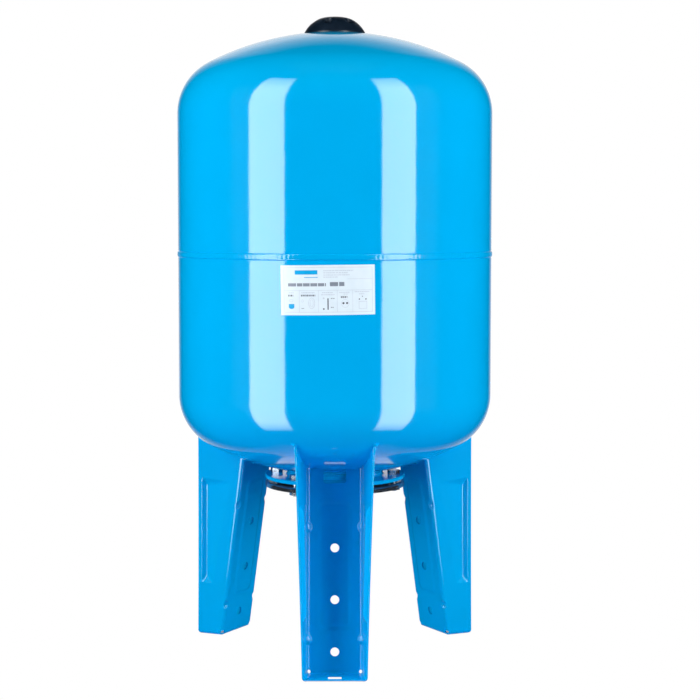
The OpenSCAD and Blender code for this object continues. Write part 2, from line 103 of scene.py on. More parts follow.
class Build:
    """Collects the points and faces of one piece."""

    def __init__(self):
        self.points = []
        self.faces = []

    def grid(self, rows, closed=False):
        """A sheet of quads over equally long rows of points."""
        rows = np.asarray(rows, float)
        first = len(self.points)
        count, width = rows.shape[:2]
        self.points.extend(map(tuple, rows.reshape(-1, 3)))
        span = width if closed else width - 1
        for r in range(count - 1):
            for c in range(span):
                a = first + r * width + c
                b = first + r * width + (c + 1) % width
                self.faces.append((a, b, b + width, a + width))

    def polygon(self, ring):
        first = len(self.points)
        self.points.extend(map(tuple, ring))
        self.faces.append(tuple(range(first, len(self.points))))

    def mesh(self, name, **options):
        return mesh_from(name, self.points, self.faces, **options)


def arc(cx, cy, r, a0, a1, step=2.0):
    """Points from angle a0 to a1, in degrees."""
    n = max(1, math.ceil(abs(a1 - a0) / step))
    turns = np.radians(np.linspace(a0, a1, n + 1))
    return [(cx + r * math.cos(t), cy + r * math.sin(t)) for t in turns]


def lathe(build, outline, segments=256, centre=(0, 0), shape=None):
    """Turns a closed outline of (radius, height) points about a vertical axis. shape(r, z, turn) may change the radius."""
    turns = np.linspace(0, 2 * math.pi, segments, endpoint=False)
    rows = []
    for r, z in list(outline) + [outline[0]]:
        radii = np.full(segments, float(r)) if shape is None else shape(r, z, turns)
        row = np.column_stack([centre[0] + radii * np.cos(turns), centre[1] + radii * np.sin(turns),
                               np.full(segments, float(z))])
        rows.append(row)
    build.grid(rows, closed=True)


# ---- Materials

def shader(name):
    """A new material's node tree, its Principled shader and its object coordinates."""
    material = bpy.data.materials.new(name)
    material.use_nodes = True
    tree = material.node_tree
    bsdf = next(n for n in tree.nodes if n.type == "BSDF_PRINCIPLED")
    coords = tree.nodes.new("ShaderNodeTexCoord").outputs["Object"]
    return material, tree, bsdf, coords


def noise(tree, coords, scale, detail=2.0, roughness=0.5):
    node = tree.nodes.new("ShaderNodeTexNoise")
    node.inputs["Scale"].default_value = scale
    node.inputs["Detail"].default_value = detail
    node.inputs["Roughness"].default_value = roughness
    tree.links.new(coords, node.inputs["Vector"])
    return node.outputs["Fac"]


def ramp(tree, value, low, high, start=0.3, end=0.7):
    """Maps a value between two colours or greys."""
    node = tree.nodes.new("ShaderNodeValToRGB")
    for element, place, colour in zip(node.color_ramp.elements, (start, end), (low, high)):
        element.position = place
        element.color = (*colour, 1) if isinstance(colour, tuple) else (colour, colour, colour, 1)
    tree.links.new(value, node.inputs["Fac"])
    return node.outputs["Color"]


def bump(tree, bsdf, layers):
    """Stacks bump layers of (height, strength, distance in metres) on the shader."""
    last = None
    for height, strength, distance in layers:
        node = tree.nodes.new("ShaderNodeBump")
        node.inputs["Strength"].default_value = strength
        node.inputs["Distance"].default_value = distance
        tree.links.new(height, node.inputs["Height"])
        if last:
            tree.links.new(last, node.inputs["Normal"])
        last = node.outputs["Normal"]
    tree.links.new(last, bsdf.inputs["Normal"])


def stretched(tree, coords, scale):
    node = tree.nodes.new("ShaderNodeMapping")
    node.inputs["Scale"].default_value = scale
    tree.links.new(coords, node.inputs["Vector"])
    return node.outputs["Vector"]


def powder_blue():
    """Gloss powder coat: even blue with a faint orange peel."""
    material, tree, bsdf, coords = shader("powder_blue")
    tint = noise(tree, coords, 14.0, 3.0)
    tree.links.new(ramp(tree, tint, (0.0, 0.415, 0.79), (0.0, 0.43, 0.815)), bsdf.inputs["Base Color"])
    haze = noise(tree, coords, 60.0, 2.0)
    tree.links.new(ramp(tree, haze, 0.07, 0.10), bsdf.inputs["Roughness"])
    bump(tree, bsdf, [(noise(tree, coords, 420.0, 1.0), 0.02, 0.0004), (noise(tree, coords, 30.0, 1.0), 0.02, 0.003)])
    return material


def zinc_plate():
    """Bright zinc: slightly blue metal with fine scratches and dull patches."""
    material, tree, bsdf, coords = shader("bright_zinc")
    cloud = noise(tree, coords, 45.0, 4.0)
    tree.links.new(ramp(tree, cloud, (0.14, 0.18, 0.22), (0.34, 0.40, 0.46)), bsdf.inputs["Base Color"])
    tree.links.new(ramp(tree, noise(tree, coords, 160.0, 3.0), 0.14, 0.26), bsdf.inputs["Roughness"])
    bsdf.inputs["Metallic"].default_value = 0.9
    fine = noise(tree, stretched(tree, coords, (60.0, 60.0, 900.0)), 4.0, 2.0)
    bump(tree, bsdf, [(fine, 0.06, 0.0003)])
    return material


def moulded_black():
    """Semi-gloss moulded plastic with a fine spark-eroded grain."""
    material, tree, bsdf, coords = shader("moulded_black")
    tree.links.new(ramp(tree, noise(tree, coords, 30.0, 2.0), (0.003, 0.008, 0.016), (0.006, 0.013, 0.024)),
                   bsdf.inputs["Base Color"])
    tree.links.new(ramp(tree, noise(tree, coords, 300.0, 2.0), 0.30, 0.42), bsdf.inputs["Roughness"])
    bump(tree, bsdf, [(noise(tree, coords, 1600.0, 2.0), 0.12, 0.0002)])
    return material


def matt_rubber():
    material, tree, bsdf, coords = shader("matt_rubber")
    tree.links.new(ramp(tree, noise(tree, coords, 50.0, 3.0), 0.012, 0.022), bsdf.inputs["Base Color"])
    tree.links.new(ramp(tree, noise(tree, coords, 200.0, 2.0), 0.62, 0.78), bsdf.inputs["Roughness"])
    bump(tree, bsdf, [(noise(tree, coords, 900.0, 2.0), 0.15, 0.0003)])
    return material


def turned_brass():
    material, tree, bsdf, coords = shader("turned_brass")
    tree.links.new(ramp(tree, noise(tree, coords, 90.0, 2.0), (0.62, 0.42, 0.14), (0.78, 0.58, 0.26)),
                   bsdf.inputs["Base Color"])
    bsdf.inputs["Metallic"].default_value = 1.0
    rings = noise(tree, stretched(tree, coords, (40.0, 40.0, 4000.0)), 3.0, 1.0)
    tree.links.new(ramp(tree, rings, 0.22, 0.36), bsdf.inputs["Roughness"])
    bump(tree, bsdf, [(rings, 0.1, 0.0002)])
    return material


def film(name, low, high, roughness=0.3):
    """Printed label film: a smooth ink with faint mottle."""
    material, tree, bsdf, coords = shader(name)
    tree.links.new(ramp(tree, noise(tree, coords, 120.0, 2.0), low, high), bsdf.inputs["Base Color"])
    tree.links.new(ramp(tree, noise(tree, coords, 40.0, 2.0), roughness, roughness + 0.08), bsdf.inputs["Roughness"])
    bump(tree, bsdf, [(noise(tree, coords, 350.0, 1.0), 0.03, 0.0002)])
    return material


BLUE = powder_blue()
ZINC = zinc_plate()
BLACK = moulded_black()
RUBBER = matt_rubber()
BRASS = turned_brass()
FILM = film("label_film", (0.79, 0.89, 0.91), (0.83, 0.92, 0.935))
INK_PALE = film("ink_pale", (0.60, 0.66, 0.70), (0.66, 0.72, 0.76))
INK_GREY = film("ink_grey", (0.22, 0.25, 0.28), (0.27, 0.30, 0.34))
INK_DARK = film("ink_dark", (0.03, 0.04, 0.06), (0.05, 0.06, 0.08))
INK_CYAN = film("ink_cyan", (0.0, 0.38, 0.72), (0.01, 0.42, 0.78))

CAD_FINISH = {
    "neck_collar": BLUE, "neck_weld": BLUE, "valve_boss": BLUE,
    "bladder": RUBBER, "valve_seal": RUBBER,
    "counterflange": ZINC, "nipple_weld": ZINC,
    "flange_bolts": ZINC, "flange_washers": ZINC, "flange_nuts": ZINC,
    "valve_body": BRASS, "valve_core": BRASS,
    "valve_cap": BLACK,
}
for name, finish in CAD_FINISH.items():
    nodes[name].data.materials.clear()
    nodes[name].data.materials.append(finish)


# ---- Tank

def head(inset, hole_r):
    """A domed end's outline from its hole out to the end of its knuckle at height 0."""
    r = CROWN_R - inset
    crown = arc(0, HEAD_H - CROWN_R, r, 90 - math.degrees(math.asin(hole_r / r)), 90 - math.degrees(HEAD_TURN), 0.8)
    return crown + arc(TANK_R - KNUCKLE_R, 0, KNUCKLE_R - inset, 90 - math.degrees(HEAD_TURN), 0, 2.5)[1:]


def side(r, z0, z1, steps):
    return [(r, z) for z in np.linspace(z0, z1, steps + 1)]


TOE_W = 0.9
TOE_DEEP = 0.35
BEAD_HALF = 3.5


def toe(z):
    """The slight undercut beside the girth bead, on the sheet side named by z's distance from the seam."""
    return [(TANK_R, SEAM_Z + z), (TANK_R - TOE_DEEP, SEAM_Z + z - math.copysign(TOE_W / 2, z)),
            (TANK_R - TOE_DEEP, SEAM_Z + z - math.copysign(TOE_W, z))]


def upper_shell():
    build = Build()
    inner = [(r, z + UPPER_KNUCKLE_Z) for r, z in head(SHELL_T, 13.0)]
    outer = [(r, z + UPPER_KNUCKLE_Z) for r, z in head(0, 13.0)]
    outline = outer + side(TANK_R, UPPER_KNUCKLE_Z - 4, SEAM_Z + BEAD_HALF + 2, 16)
    outline += toe(BEAD_HALF + 0.7) + [(TANK_R - TOE_DEEP, SEAM_Z), (TANK_R - SHELL_T, SEAM_Z)] + inner[::-1]
    lathe(build, outline)
    return piece("tank_upper_half", build.mesh("tank_upper_half"), BLUE, "blue_enamel", "upper_shell")


def lower_shell():
    build = Build()
    inner = [(r, LOWER_KNUCKLE_Z - z) for r, z in head(SHELL_T, 45.0)]
    outer = [(r, LOWER_KNUCKLE_Z - z) for r, z in head(0, 45.0)]
    outline = outer + side(TANK_R, LOWER_KNUCKLE_Z + 4, SEAM_Z - BEAD_HALF - 2, 16)
    outline += toe(-BEAD_HALF - 0.7) + [
        (TANK_R - TOE_DEEP, SEAM_Z - 3), (SPIGOT_R, SEAM_Z), (SPIGOT_R, SEAM_Z + 10),
        (SPIGOT_R - SHELL_T, SEAM_Z + 10), (SPIGOT_R - SHELL_T, SEAM_Z), (TANK_R - SHELL_T, SEAM_Z - 3)]
    outline += inner[::-1]
    lathe(build, outline)
    return piece("tank_lower_half", build.mesh("tank_lower_half"), BLUE, "blue_enamel", "lower_shell")


def girth_bead():
    """A machine-laid bead: close ripples, a wandering lower edge and steep toes."""
    segments = 1440
    turns = np.linspace(0, 2 * math.pi, segments, endpoint=False)
    rng = np.random.default_rng(7)
    wander = sum(rng.uniform(0.1, 0.3) * np.sin(k * turns + rng.uniform(0, 6.28)) for k in (37, 61, 97, 143))
    low_edge = -BEAD_HALF - 0.15 + 0.45 * wander
    high_edge = BEAD_HALF + 0.12 * np.roll(wander, 200)
    rows = []
    for u in np.linspace(-1, 1, 19):
        z = SEAM_Z + np.where(u < 0, -u * low_edge, u * high_edge)
        ripple = 0.07 * np.sin(236 * turns + 2.2 * (1 - u * u))
        r = TANK_R - TOE_DEEP + (0.8 + TOE_DEEP + ripple) * (1 - abs(u) ** 5)
        rows.append(np.column_stack([r * np.cos(turns), r * np.sin(turns), z]))
    for r, z in [(TANK_R - TOE_DEEP - 0.1, SEAM_Z + 3), (SPIGOT_R + 0.05, SEAM_Z), (TANK_R - TOE_DEEP - 0.1, SEAM_Z - 3)]:
        rows.append(np.column_stack([r * np.cos(turns), r * np.sin(turns), np.full(segments, z)]))
    rows.append(rows[0])
    build = Build()
    build.grid(rows, closed=True)
    return piece("girth_bead", build.mesh("girth_bead", sharp=60), BLUE, "blue_enamel", "girth_weld")


upper_shell()
lower_shell()
girth_bead()


# ---- Legs, in a frame of their own: X points away from the tank's axis and Y runs across the leg

LEG_T = 2.0
BEND_R = 5.0
LEAN = math.radians(8.5)
WEB_FOOT = 143.2
WEB_W = 65.0
FLANGE_SPLAY = 9.6
SPLAY = math.tan(math.radians(FLANGE_SPLAY))
EDGE_SLOPE = math.tan(math.radians(1.6))
EDGE_FOOT = 176.6
EDGE_CORNER = 4.0
BEND_X = WEB_FOOT + BEND_R / math.cos(LEAN)
BEND_Y = WEB_W / 2 - BEND_R * math.tan(math.radians((90 - FLANGE_SPLAY) / 2))
EDGE_ROUND = 0.5
TWIST_FOOT = -0.039
TWIST_SLOPE = 0.00025
NORMAL_WEB = np.array([-math.cos(LEAN), 0, -math.sin(LEAN)])
NORMAL_FLANGE = np.array([-SPLAY, 1, -math.tan(LEAN) * SPLAY])
NORMAL_FLANGE /= np.linalg.norm(NORMAL_FLANGE)
DOWN = np.array([0, 0, -1.0])


def smooth(t):
    t = np.clip(t, 0, 1)
    return t * t * (3 - 2 * t)


def turned(a, b, t):
    """The unit vector a fraction t of the way from a to b."""
    angle = math.acos(np.clip(np.dot(a, b), -1, 1))
    return (math.sin((1 - t) * angle) * a + math.sin(t * angle) * b) / math.sin(angle)


def edge_x(z):
    """The flange's outer edge, with its rounded bottom corner."""
    straight = EDGE_FOOT - EDGE_SLOPE * max(z, EDGE_CORNER)
    drop = EDGE_CORNER - min(z, EDGE_CORNER)
    return straight - EDGE_CORNER + math.sqrt(max(EDGE_CORNER ** 2 - drop ** 2, 0))


def tank_z(r):
    """Height of the lower dome's outside at a radius."""
    if r < CROWN_R * math.sin(HEAD_TURN):
        return TANK_LIFT + CROWN_R - math.sqrt(CROWN_R ** 2 - r ** 2)
    return LOWER_KNUCKLE_Z - math.sqrt(max(KNUCKLE_R ** 2 - (r - TANK_R + KNUCKLE_R) ** 2, 0))


# Columns across the sheet, from one flange's edge over the web to the other: (kind, side, place)
FLANGE_NEAR = [0.5, 1.0, 2.0, 3.2, 4.2, 5.0, 5.7, 6.5, 7.5, 8.7, 9.9, 11.0, 11.7, 12.2, 12.6]
FLANGE_FAR = list(np.linspace(0, 1, 25)[1:])
BEND_STEPS = 9
WEB_STEPS = 44
columns = [("near", -1, e) for e in FLANGE_NEAR] + [("far", -1, v) for v in FLANGE_FAR]
columns += [("bend", -1, t) for t in np.linspace(0, 1, BEND_STEPS)[1:-1]]
columns += [("web", 0, y) for y in np.linspace(-BEND_Y, BEND_Y, WEB_STEPS + 1)]
columns += [("bend", 1, t) for t in np.linspace(1, 0, BEND_STEPS)[1:-1]]
columns += [("far", 1, v) for v in FLANGE_FAR[::-1]] + [("near", 1, e) for e in FLANGE_NEAR[::-1]]


def sheet_point(column, z, sweep, depth):
    """A point of the plain sheet. z is the height of the bend's centre line, and sweep goes from 0 to 1 under the foot."""
    kind, sign, place = column
    flange = NORMAL_FLANGE * np.array([1, sign, 1])
    normal = {"web": NORMAL_WEB, "bend": None}.get(kind, flange)
    if kind == "bend":
        normal = turned(flange, NORMAL_WEB, place)
    if sweep:
        normal = turned(normal, DOWN, sweep)
    offset = BEND_R - depth
    x_bend = BEND_X - math.tan(LEAN) * z
    if kind == "web":
        return np.array([x_bend, place, z]) + offset * normal
    if kind == "bend":
        return np.array([x_bend, sign * BEND_Y, z]) + offset * normal
    at_z = z + offset * normal[2]
    x_near = edge_x(at_z) - FLANGE_NEAR[-1] - normal[0] * offset
    if kind == "near":
        x = edge_x(at_z) - place - normal[0] * offset
    else:
        x = x_near + (x_bend - x_near) * place
    y = sign * (BEND_Y + (x - x_bend) * (SPLAY + TWIST_FOOT + TWIST_SLOPE * z))
    return np.array([x, y, z]) + offset * normal


def top_of(column, depth):
    """The bend line's height at which a column meets the tank."""
    low, high = 150.0, 300.0
    for _ in range(40):
        mid = (low + high) / 2
        p = sheet_point(column, mid, 0, depth)
        if p[2] < tank_z(math.hypot(p[0], p[1])):
            low = mid
        else:
            high = mid
    return low


PANEL_MID = 49 + 75
PANEL_HALF = (20.5, 75.0)
PANEL_CORNER = 11.0
PANEL_SLOPE = 6.2
PANEL_DEEP = 1.25
POCKET_Z = (66.0, 198.0)
POCKET_DEEP = 4.0
POCKET_MARGIN = 5.0
POCKET_WALL = 5.0
DIMPLE_RISES = (40.0, 168.0)


def rise_of(p):
    """Distance up the web."""
    return -(p[0] - WEB_FOOT) * math.sin(LEAN) + p[2] * math.cos(LEAN)


def panel_depth(p):
    qx = abs(p[1]) - PANEL_HALF[0] + PANEL_CORNER
    qz = abs(rise_of(p) - PANEL_MID) - PANEL_HALF[1] + PANEL_CORNER
    inside = PANEL_CORNER - math.hypot(max(qx, 0), max(qz, 0)) - min(max(qx, qz), 0)
    return PANEL_DEEP * smooth(inside / PANEL_SLOPE)


def soft_min(values, k=0.10):
    values = np.array(values)
    return -k * math.log(np.exp(-values / k).sum())


def pocket_depth(p):
    """The wedge pocket: a steep wall near the outer edge, a long shallow side towards the web."""
    x, z = p[0], p[2]
    web = WEB_FOOT - math.tan(LEAN) * z
    along = (z - POCKET_Z[0]) / (POCKET_Z[1] - POCKET_Z[0])
    root = web + 21 - 6 * along
    deep_line = edge_x(z) - POCKET_MARGIN - POCKET_WALL
    steep = (edge_x(z) - POCKET_MARGIN - x) / POCKET_WALL
    shallow = (x - root) / max(deep_line - root, 1)
    slant = 4 * (1 - np.clip(shallow, 0, 1))
    ends = ((z - POCKET_Z[0]) / 8, (POCKET_Z[1] - slant - z) / 8)
    level = soft_min([steep, shallow, *ends, 1.05])
    return POCKET_DEEP * max(level, 0) if level > 0.08 else POCKET_DEEP * max(level + 0.08, 0) ** 2 / 0.32


def dented(p, depth):
    """Pushes a point out of the dimple balls on the bends."""
    for rise in DIMPLE_RISES:
        for sign in (-1, 1):
            x, z = -3.0, rise
            ball = np.array([WEB_FOOT + x * math.cos(LEAN) - z * math.sin(LEAN), sign * (WEB_W / 2 + 0.6),
                             x * math.sin(LEAN) + z * math.cos(LEAN)])
            away = p - ball
            gap = np.linalg.norm(away)
            if gap < 6.6 + depth:
                p = ball + away * (6.6 + depth) / gap
    return p


def formed(column, z, sweep, depth):
    p = sheet_point(column, z, sweep, depth)
    kind, sign = column[:2]
    if kind == "web":
        p = p + NORMAL_WEB * panel_depth(p)
    elif kind in ("near", "far"):
        p = p - NORMAL_FLANGE * np.array([1, sign, 1]) * pocket_depth(p)
    return dented(p, depth) if kind != "near" else p


SWEEPS = np.linspace(0, 1, 9)[1:]
LEVELS = np.linspace(BEND_R, 200, 157)
TOP_STEPS = 20


def surface(depth, cols):
    """Rows from the tank down and under the foot, for one face of the sheet."""
    tops = [top_of(c, depth) for c in cols]
    rows = []
    for t in np.linspace(1, 0, TOP_STEPS + 1)[:-1]:
        rows.append([formed(c, 200 + t * (top - 200), 0, depth) for c, top in zip(cols, tops)])
    for z in LEVELS[::-1]:
        rows.append([formed(c, z, 0, depth) for c in cols])
    for sweep in SWEEPS:
        rows.append([formed(c, BEND_R, sweep, depth) for c in cols])
    return np.array(rows)


def edge_profile(outer, inner, outer_in, inner_in):
    """Rounded points around the sheet's cut edge, between its two faces' last columns."""
    along = outer - outer_in
    along /= np.linalg.norm(along)
    through = outer - inner
    through /= np.linalg.norm(through)
    ring = [outer_in]
    for a in (30, 60, 90):
        s, c = math.sin(math.radians(a)), math.cos(math.radians(a))
        ring.append(outer + EDGE_ROUND * (along * (s - 1) + through * (c - 1)))
    for a in (0, 30, 60):
        s, c = math.sin(math.radians(a)), math.cos(math.radians(a))
        ring.append(inner + EDGE_ROUND * (along * (c - 1) - through * (s - 1)))
    return ring + [inner_in]


def leg_sheet():
    """The drawn leg as one closed sheet, before its holes are cut."""
    faces = [surface(depth, columns) for depth in (0.0, LEG_T)]
    rims = [surface(depth, [("near", -1, 0.0), ("near", 1, 0.0)]) for depth in (0.0, LEG_T)]
    build = Build()
    for face in faces:
        build.grid(face)
    profiles = []
    for which, column in ((0, 0), (1, -1)):
        profiles.append([edge_profile(rims[0][r, which], rims[1][r, which], faces[0][r, column], faces[1][r, column])
                         for r in range(len(faces[0]))])
    near = len(FLANGE_NEAR) + len(FLANGE_FAR)
    blend = np.linspace(0, 1, WEB_STEPS + 1)[:, None]
    for face in faces:
        last = face[-1]
        build.grid([last[k] * (1 - blend) + last[-1 - k] * blend for k in range(near)])
    front = [np.array(profiles[0][-1]) * (1 - t) + np.array(profiles[1][-1]) * t for t in blend[:, 0]]
    build.grid(profiles[0])
    build.grid(front)
    build.grid(profiles[1][::-1])
    build.grid([faces[0][0], faces[1][0]])
    build.polygon(profiles[0][0])
    build.polygon(profiles[1][0])
    return build


def on_web(x, y, z):
    return np.array([WEB_FOOT + x * math.cos(LEAN) - z * math.sin(LEAN), y, x * math.sin(LEAN) + z * math.cos(LEAN)])


def prism(build, ring_a, ring_b):
    build.grid([ring_a, ring_b], closed=True)
    build.polygon(ring_a)
    build.polygon(ring_b)


def ball(build, centre, r, steps=20):
    rows = []
    for lat in np.linspace(-90, 90, steps // 2 + 1):
        c, s = math.cos(math.radians(lat)), math.sin(math.radians(lat))
        turns = np.linspace(0, 2 * math.pi, steps, endpoint=False)
        rows.append(np.column_stack([r * c * np.cos(turns), r * c * np.sin(turns), np.full(steps, r * s)]) + centre)
    build.grid(rows, closed=True)


def leg_cutters():
    """Three web holes, the notch at the top, two relief holes and the drain slot."""
    build = Build()
    turns = np.radians(np.linspace(0, 360, 48, endpoint=False))
    for rise in (26.0, 85.0, 144.0):
        prism(build, *[[on_web(x, 5 * math.cos(t), rise + 5 * math.sin(t)) for t in turns] for x in (-6.0, 8.0)])
    corner = arc(10, 0, 3.0, -90, 0, 15)
    low = TANK_LIFT + CROWN_R - math.sqrt(CROWN_R ** 2 - (WEB_FOOT - math.tan(LEAN) * TANK_LIFT) ** 2) - 16
    outline = [(y, z + low + 3) for y, z in corner] + [(13, 260)]
    outline += [(-y, z) for y, z in outline[::-1]]
    prism(build, *[[(x, y, z) for y, z in outline] for x in (80, 135)])
    for sign in (-1, 1):
        ball(build, np.array([WEB_FOOT - math.tan(LEAN) * BEND_R + BEND_R / 4, sign * (WEB_W / 2 - 0.4 * BEND_R), 3.5]), 3.0)
    mid = (WEB_FOOT + EDGE_FOOT) / 2 + 1.6
    ring = [(mid + sx * 6.2 + 1.5 * math.cos(t), sy * 6.2 + 1.5 * math.sin(t))
            for sx, sy, a in ((1, 1, 0), (-1, 1, 90), (-1, -1, 180), (1, -1, 270))
            for t in np.radians(np.linspace(a, a + 90, 7))]
    prism(build, *[[(x, y, z) for x, y in ring] for z in (-2, 5)])
    return build


def cut_leg():
    """The leg's mesh in its own frame, with its holes cut."""
    sheet = bpy.data.objects.new("leg_blank", leg_sheet().mesh("leg_blank", weld=1e-3))
    cutter = bpy.data.objects.new("leg_cutter", leg_cutters().mesh("leg_cutter"))
    for obj in (sheet, cutter):
        bpy.context.scene.collection.objects.link(obj)
    tool = sheet.modifiers.new("holes", "BOOLEAN")
    tool.object = cutter
    tool.operation = "DIFFERENCE"
    tool.solver = "EXACT"
    depsgraph = bpy.context.evaluated_depsgraph_get()
    mesh = bpy.data.meshes.new_from_object(sheet.evaluated_get(depsgraph))
    for obj in (sheet, cutter):
        bpy.data.objects.remove(obj)
    mesh.shade_smooth()
    mesh.set_sharp_from_angle(angle=math.radians(34))
    return mesh


def turned_copy(mesh, name, degrees):
    copy = mesh.copy()
    copy.name = name
    points = np.empty(len(copy.vertices) * 3)
    copy.vertices.foreach_get("co", points)
    points = spun(points.reshape(-1, 3), degrees)
    copy.vertices.foreach_set("co", points.ravel())
    copy.update()
    return copy


def spun(points, degrees):
    a = math.radians(degrees)
    turn = np.array([[math.cos(a), -math.sin(a), 0], [math.sin(a), math.cos(a), 0], [0, 0, 1]])
    return np.asarray(points) @ turn.T


def tank_normal(p):
    r = math.hypot(p[0], p[1])
    if r < CROWN_R * math.sin(HEAD_TURN):
        centre = np.array([0, 0, TANK_LIFT + CROWN_R])
    else:
        centre = np.array([p[0] / r, p[1] / r, 0]) * (TANK_R - KNUCKLE_R) + np.array([0, 0, LOWER_KNUCKLE_Z])
    n = p - centre
    return n / np.linalg.norm(n)


def leg_bead():
    """A rippled fillet weld along the outside of the leg where it meets the tank."""
    path, walls = [], []
    for c in columns:
        z = top_of(c, 0.0)
        kind, sign = c[:2]
        if kind == "web":
            n = NORMAL_WEB
        else:
            flange = NORMAL_FLANGE * np.array([1, sign, 1])
            n = turned(flange, NORMAL_WEB, c[2]) if kind == "bend" else flange
        path.append(sheet_point(c, z, 0, 0.0))
        walls.append(n)
    path, walls = np.array(path), np.array(walls)
    steps = np.r_[0, np.cumsum(np.linalg.norm(np.diff(path, axis=0), axis=1))]
    count = int(steps[-1] / 0.6)
    places = np.linspace(0, steps[-1], count + 1)
    path = np.column_stack([np.interp(places, steps, path[:, i]) for i in range(3)])
    walls = np.column_stack([np.interp(places, steps, walls[:, i]) for i in range(3)])
    rows = []
    for s, p, wall in zip(places, path, walls):
        wall = wall / np.linalg.norm(wall)
        tank = tank_normal(p)
        up = wall - wall.dot(tank) * tank
        down = tank - tank.dot(wall) * wall
        up, down = up / np.linalg.norm(up), down / np.linalg.norm(down)
        end = min(s, places[-1] - s)
        blob = 0.35 * math.exp(-(end / 2.5) ** 2)
        size = 2.9 * (0.86 + 0.10 * math.sin(s * 2.1) + 0.04 * math.sin(s * 0.37) + blob)
        ring = [p - 0.4 * up - 0.3 * down]
        for a in np.linspace(-0.08, 1.08, 8) * math.pi / 2:
            ring.append(p + size * (math.cos(a) * up + math.sin(a) * down))
        rows.append(ring)
    build = Build()
    build.grid(rows, closed=True)
    build.polygon(rows[0])
    build.polygon(rows[-1])
    return build.mesh("leg_bead", sharp=60)


leg_mesh = cut_leg()
bead_mesh = leg_bead()
for name, turn in LEG_TURNS.items():
    piece("pressed_" + name, turned_copy(leg_mesh, name, turn), BLUE, "blue_enamel", name)
    piece(name + "_bead", turned_copy(bead_mesh, name + "_bead", turn), BLUE, "blue_enamel", name + "_weld")


# ---- Label

LABEL = (105.0, 55.0)
LABEL_TOP = SEAM_Z - 3.5 - 5
LABEL_TILT = math.radians(0.7)


def on_label(x, y, lift):
    """A point of the label's face, from millimetres right of and below its top left corner."""
    dx, dy = x - LABEL[0] / 2, y - LABEL[1] / 2
    u = dx * math.cos(LABEL_TILT) + dy * math.sin(LABEL_TILT) - 8
    v = -dx * math.sin(LABEL_TILT) + dy * math.cos(LABEL_TILT)
    turn = u / TANK_R - math.pi / 2
    r = TANK_R + 0.1 + lift
    return (r * math.cos(turn), r * math.sin(turn), LABEL_TOP - LABEL[1] / 2 - v)


def label_sheet():
    build = Build()
    xs = np.linspace(0, LABEL[0], 43)
    front = [[on_label(x, y, 0.3) for x in xs] for y in np.linspace(0, LABEL[1], 12)]
    back = [[on_label(x, y, 0.0) for x in xs] for y in np.linspace(0, LABEL[1], 12)]
    build.grid(front)
    build.grid(back)
    build.grid([front[0], back[0]])
    build.grid([front[-1], back[-1]])
    for side in (0, -1):
        build.grid([[row[side] for row in front], [row[side] for row in back]])
    piece("label_sheet", build.mesh("label_sheet"), FILM, "label_film", "label")


class Print(Build):
    """Plain shapes of one ink on the label."""

    def bar(self, x, y, w, h):
        xs = np.linspace(x, x + w, max(2, int(w / 3) + 1))
        self.grid([[on_label(u, v, 0.34) for u in xs] for v in (y, y + h)])

    def blocks(self, x, y, w, h, pitch, fill=0.62):
        """A row of small blocks that stands for a line of words."""
        rng = np.random.default_rng(int(x * 10 + y * 100))
        place = x
        while place < x + w - 0.4:
            width = min(pitch * rng.uniform(0.6, 1.5), x + w - place)
            self.bar(place, y, width * fill, h)
            place += width

    def frame(self, x, y, w, h, line):
        self.bar(x, y, w, line)
        self.bar(x, y + h - line, w, line)
        self.bar(x, y, line, h)
        self.bar(x + w - line, y, line, h)

    def loop(self, x, y, rx, ry, line):
        turns = np.radians(np.linspace(0, 360, 33))
        self.grid([[on_label(x + (rx - d) * math.cos(t), y + (ry - d) * math.sin(t), 0.34) for t in turns]
                   for d in (0, line)])

    def disc(self, x, y, rx, ry):
        turns = np.radians(np.linspace(0, 360, 24, endpoint=False))
        self.polygon([on_label(x + rx * math.cos(t), y + ry * math.sin(t), 0.34) for t in turns])


